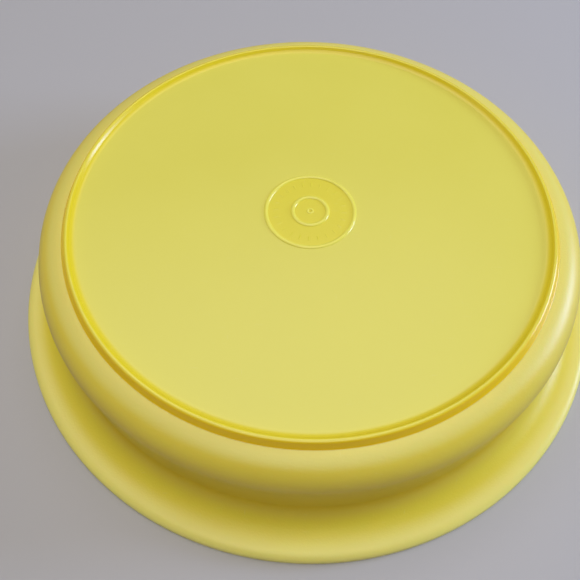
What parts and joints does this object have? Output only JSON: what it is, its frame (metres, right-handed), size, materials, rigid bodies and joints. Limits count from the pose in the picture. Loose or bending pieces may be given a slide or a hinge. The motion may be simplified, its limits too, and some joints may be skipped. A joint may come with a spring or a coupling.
{
  "type": "suction bowl",
  "caption": "Round feeding bowl with a wide flange, lying rim down. A thin suction pad and a soft raised sealing ring sit in its base and pull off for washing.",
  "frame": {"origin": "centre of the rim's resting plane, with the bowl stored upside down", "axes": "+Z along the bowl's axis, from the rim to the suction base; +X and +Y are arbitrary on this round part"},
  "size_m": [0.216, 0.216, 0.0445],
  "materials": {
    "shell_plastic": "satin, slightly waxy polyethylene",
    "pad_plastic": "smooth semi-gloss",
    "seal_rubber": "glossy soft elastomer"
  },
  "bodies": {
    "bowl": {"bowl_shell": "shell_plastic"},
    "pad": {"suction_pad": "pad_plastic"},
    "ring": {"seal_ring": "seal_rubber"}
  },
  "joints": [
    {"name": "pad_pull", "type": "slide", "parent": "bowl", "child": "pad", "axis": [0, 0, 1], "range_m": [0, 0.03]},
    {"name": "ring_pull", "type": "slide", "parent": "bowl", "child": "ring", "axis": [0, 0, 1], "range_m": [0, 0.06]}
  ]
}
